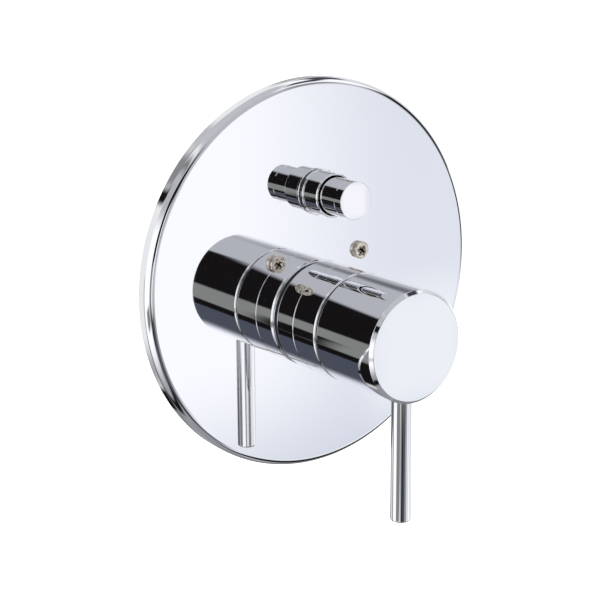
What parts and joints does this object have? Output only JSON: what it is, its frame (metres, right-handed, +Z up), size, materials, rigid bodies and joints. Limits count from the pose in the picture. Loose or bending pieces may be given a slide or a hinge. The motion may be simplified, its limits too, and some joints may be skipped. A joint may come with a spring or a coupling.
{
  "type": "shower diverter valve",
  "caption": "Concealed shower mixer with a round chrome wall plate, turned handle with a pin lever, pull-out diverter knob and in-wall brass body.",
  "frame": {"origin": "centre of the wall plate's rim, on the plane of the finished wall", "axes": "+Y into the wall, -Y towards the user, +Z up, +X to the user's right when facing the plate"},
  "size_m": [0.17, 0.118, 0.1787],
  "materials": {
    "polished_chrome": "polished chrome plate on brass",
    "nickel_steel": "nickel plated steel",
    "spring_steel": "drawn stainless steel",
    "cast_brass": "shot blasted casting with machined bores",
    "turned_brass": "turned",
    "black_rubber": "moulded EPDM",
    "foam_gasket": "closed cell foam",
    "white_acetal": "moulded acetal",
    "red_acetal": "moulded acetal",
    "alumina_ceramic": "lapped alumina",
    "fibre_washer": "vulcanised fibre"
  },
  "bodies": {
    "body": {"escutcheon_plate": "polished_chrome", "plate_gasket": "foam_gasket", "plate_screws": "nickel_steel", "sleeve_seal": "black_rubber", "sleeve_base": "polished_chrome", "sleeve_collar": "polished_chrome", "neck_o_ring_front": "black_rubber", "neck_o_ring_rear": "black_rubber", "cartridge_nut": "turned_brass", "cartridge_housing": "white_acetal", "housing_o_ring": "black_rubber", "fixed_disc": "alumina_ceramic", "cartridge_base": "white_acetal", "balance_plug": "white_acetal", "hot_port_seal": "black_rubber", "cold_port_seal": "black_rubber", "mixed_port_seal": "black_rubber", "valve_body": "cast_brass", "hot_strainer": "spring_steel", "cold_strainer": "spring_steel", "diverter_seal": "black_rubber", "diverter_collar": "polished_chrome", "diverter_bonnet": "turned_brass", "bonnet_o_ring": "black_rubber", "bonnet_washer": "fibre_washer", "diverter_spring": "spring_steel"},
    "handle": {"handle_body": "polished_chrome", "handle_lever": "polished_chrome", "handle_grub_screw": "nickel_steel", "limit_stop": "red_acetal", "cartridge_stem": "turned_brass", "stem_o_ring_front": "black_rubber", "stem_o_ring_rear": "black_rubber", "moving_disc": "alumina_ceramic"},
    "diverter": {"diverter_knob": "polished_chrome", "diverter_spool": "turned_brass", "spool_o_ring_front": "black_rubber", "spool_o_ring_rear": "black_rubber"},
    "balance": {"balance_spool": "spring_steel"}
  },
  "joints": [
    {"name": "handle_turn", "type": "hinge", "parent": "body", "child": "handle", "pos_m": [0, 0, -0.01686], "axis": [0, -1, 0], "range_deg": [0, 140]},
    {"name": "diverter_pull", "type": "slide", "parent": "body", "child": "diverter", "axis": [0, -1, 0], "range_m": [0, 0.008], "stiffness_N_per_m": 350, "springref_m": -0.008, "deforming": ["diverter_spring"]},
    {"name": "balance_slide", "type": "slide", "parent": "body", "child": "balance", "axis": [1, 0, 0], "range_m": [-0.0015, 0.0015]}
  ]
}
